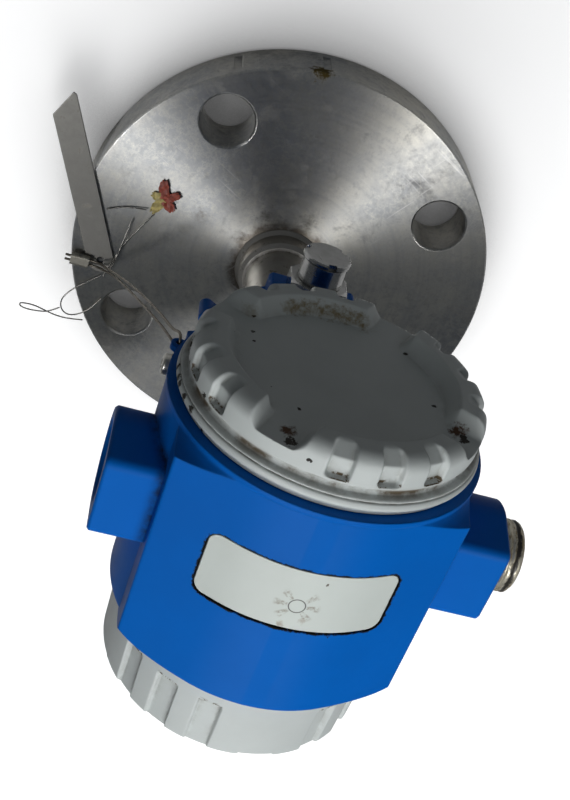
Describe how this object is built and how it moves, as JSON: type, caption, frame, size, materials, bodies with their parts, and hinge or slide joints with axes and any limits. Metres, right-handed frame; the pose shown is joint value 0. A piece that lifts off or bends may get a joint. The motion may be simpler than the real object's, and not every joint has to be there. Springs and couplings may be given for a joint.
{
  "type": "flange-mounted flow meter head",
  "caption": "Flange-mounted field meter: round two-compartment blue housing with screwed grey covers, side cable entries and a vent, on a turned steel neck and bolted flange.",
  "frame": {"origin": "centre of the flange's sealing face, on the neck's axis", "axes": "+Z along the neck towards the housing; the front cover faces -Y; the cable entries lie along X, the open one at +X"},
  "size_m": [0.1678, 0.1524, 0.2078],
  "materials": {
    "stainless_steel": "turned, stained, heat tinted at the neck's foot",
    "blue_paint": "gloss enamel, chipped at edges",
    "grey_paint": "satin enamel, dirty in its recesses",
    "plate_grey": "smooth satin",
    "polished_steel": "polished",
    "screw_steel": "zinc plated",
    "plug_brass": "nickel plated, worn through, dirty",
    "seal_rubber": "matt",
    "terminal_plastic": "moulded",
    "module_plastic": "moulded, potted",
    "tag_steel": "thin sheet, brushed",
    "rope_steel": "laid wires, dirty",
    "ferrule_aluminium": "crimped, dirty",
    "wire_steel": "drawn",
    "seal_foil": "crumpled thin sheet, one half yellow and one half red"
  },
  "bodies": {
    "mounting": {"flange": "stainless_steel", "sealing_diaphragm": "stainless_steel", "sensor_neck": "stainless_steel", "neck_seal_ring": "seal_rubber", "fill_tube": "stainless_steel", "measuring_cell": "stainless_steel", "cell_pins": "plug_brass"},
    "housing": {"housing": "blue_paint", "data_plate": "plate_grey", "vent_body": "polished_steel", "vent_cap": "polished_steel", "vent_seal": "seal_rubber", "ground_screw": "screw_steel", "ground_washer": "screw_steel", "swivel_lock_screw": "screw_steel", "terminal_block": "terminal_plastic", "terminal_screws": "plug_brass", "inner_ground_screw": "screw_steel", "feedthrough": "terminal_plastic", "electronics_module": "module_plastic", "module_screws": "screw_steel", "module_sleeves": "screw_steel", "tag_plate": "tag_steel", "rope_ferrule": "ferrule_aluminium", "rope_tails": "rope_steel", "rope_strand_a": "rope_steel", "rope_strand_b": "rope_steel", "seal_wire": "wire_steel", "seal_tail": "wire_steel", "stub_wire": "wire_steel", "loop_wire": "wire_steel", "hairpin_wire": "wire_steel", "seal_leaves": "seal_foil"},
    "front_cover": {"front_cover": "grey_paint", "front_cover_ring": "seal_rubber"},
    "rear_cover": {"rear_cover": "grey_paint", "rear_cover_ring": "seal_rubber"},
    "stopping_plug": {"stopping_plug": "plug_brass", "plug_seal": "seal_rubber"}
  },
  "joints": [
    {"name": "housing_swivel", "type": "hinge", "parent": "mounting", "child": "housing", "pos_m": [0, 0, 0.1], "axis": [0, 0, 1], "range_deg": [-180, 180]},
    {"name": "front_cover_slide", "type": "slide", "parent": "housing", "child": "front_cover", "axis": [0, -1, 0], "range_m": [0, 0.03]},
    {"name": "rear_cover_slide", "type": "slide", "parent": "housing", "child": "rear_cover", "axis": [0, 1, 0], "range_m": [0, 0.03]},
    {"name": "plug_slide", "type": "slide", "parent": "housing", "child": "stopping_plug", "axis": [-1, 0, 0], "range_m": [0, 0.03]}
  ]
}
